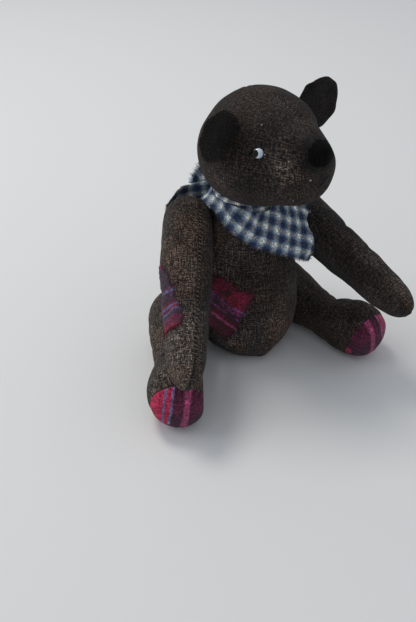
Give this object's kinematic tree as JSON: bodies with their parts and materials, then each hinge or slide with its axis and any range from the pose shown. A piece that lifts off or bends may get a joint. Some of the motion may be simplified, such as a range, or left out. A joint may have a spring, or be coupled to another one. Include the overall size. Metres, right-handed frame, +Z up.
{
  "type": "soft toy bear",
  "caption": "Worn stuffed linen bear sitting with its arms forward and head turned, with disc joints, a tied check scarf and plaid patches on belly, elbow and soles.",
  "frame": {"origin": "middle of the flat seat under the body, on the surface the bear sits on", "axes": "+Z up, -Y the way the body faces, +X towards the bear's own left"},
  "size_m": [0.1489, 0.1167, 0.1538],
  "materials": {
    "brown_linen": "coarse dark brown woven linen, rubbed and faded in places",
    "black_linen": "near-black worn linen",
    "crimson_plaid": "crimson, plum and grey plaid wool cloth with raw edges",
    "dark_plaid": "dark plum plaid wool cloth with raw edges",
    "blue_gingham": "blue, navy and cream check cotton with frayed edges",
    "stuffing": "pale cotton wadding",
    "hardboard": "brown pressed fibreboard",
    "steel_wire": "plain drawn steel",
    "eye_glass": "white glass with a black pupil",
    "black_thread": "black cotton thread"
  },
  "bodies": {
    "torso": {"body_cover": "brown_linen", "body_filling": "stuffing", "belly_patch": "crimson_plaid", "scarf": "blue_gingham", "shoulder_left_inner_disc": "hardboard", "shoulder_left_inner_washer": "steel_wire", "shoulder_left_cotter_pin": "steel_wire", "shoulder_right_inner_disc": "hardboard", "shoulder_right_inner_washer": "steel_wire", "shoulder_right_cotter_pin": "steel_wire", "hip_left_inner_disc": "hardboard", "hip_left_inner_washer": "steel_wire", "hip_left_cotter_pin": "steel_wire", "hip_right_inner_disc": "hardboard", "hip_right_inner_washer": "steel_wire", "hip_right_cotter_pin": "steel_wire", "neck_inner_disc": "hardboard", "neck_inner_washer": "steel_wire", "neck_cotter_pin": "steel_wire"},
    "head": {"head_cover": "brown_linen", "head_filling": "stuffing", "ear_left": "black_linen", "ear_right": "black_linen", "eye_left": "eye_glass", "eye_right": "eye_glass", "nose": "black_linen", "mouth_stitches": "black_thread", "neck_outer_disc": "hardboard", "neck_outer_washer": "steel_wire"},
    "arm_left": {"arm_left_cover": "brown_linen", "arm_left_filling": "stuffing", "shoulder_left_outer_disc": "hardboard", "shoulder_left_outer_washer": "steel_wire"},
    "arm_right": {"arm_right_cover": "brown_linen", "arm_right_filling": "stuffing", "elbow_patch": "dark_plaid", "shoulder_right_outer_disc": "hardboard", "shoulder_right_outer_washer": "steel_wire"},
    "leg_left": {"leg_left_cover": "brown_linen", "leg_left_filling": "stuffing", "sole_left": "crimson_plaid", "hip_left_outer_disc": "hardboard", "hip_left_outer_washer": "steel_wire"},
    "leg_right": {"leg_right_cover": "brown_linen", "leg_right_filling": "stuffing", "sole_right": "crimson_plaid", "hip_right_outer_disc": "hardboard", "hip_right_outer_washer": "steel_wire"}
  },
  "joints": [
    {"name": "neck_turn", "type": "hinge", "parent": "torso", "child": "head", "pos_m": [0, 0, 0.0978], "axis": [0, 0, 1], "range_deg": [-45, 30]},
    {"name": "shoulder_left_swing", "type": "hinge", "parent": "torso", "child": "arm_left", "pos_m": [0.0206, 0.0035, 0.0737], "axis": [-0.9008, -0.0995, -0.4226], "range_deg": [-10, 11]},
    {"name": "shoulder_right_swing", "type": "hinge", "parent": "torso", "child": "arm_right", "pos_m": [-0.0215, 0.0044, 0.0738], "axis": [-0.8774, 0.2269, 0.4226], "range_deg": [0, 45]},
    {"name": "hip_left_swing", "type": "hinge", "parent": "torso", "child": "leg_left", "pos_m": [0.0225, 0.008, 0.0186], "axis": [-0.9659, -0.2588, 0], "range_deg": [-90, 0]},
    {"name": "hip_right_swing", "type": "hinge", "parent": "torso", "child": "leg_right", "pos_m": [-0.026, 0.0026, 0.0186], "axis": [-0.8988, 0.4384, 0], "range_deg": [-90, 0]}
  ]
}
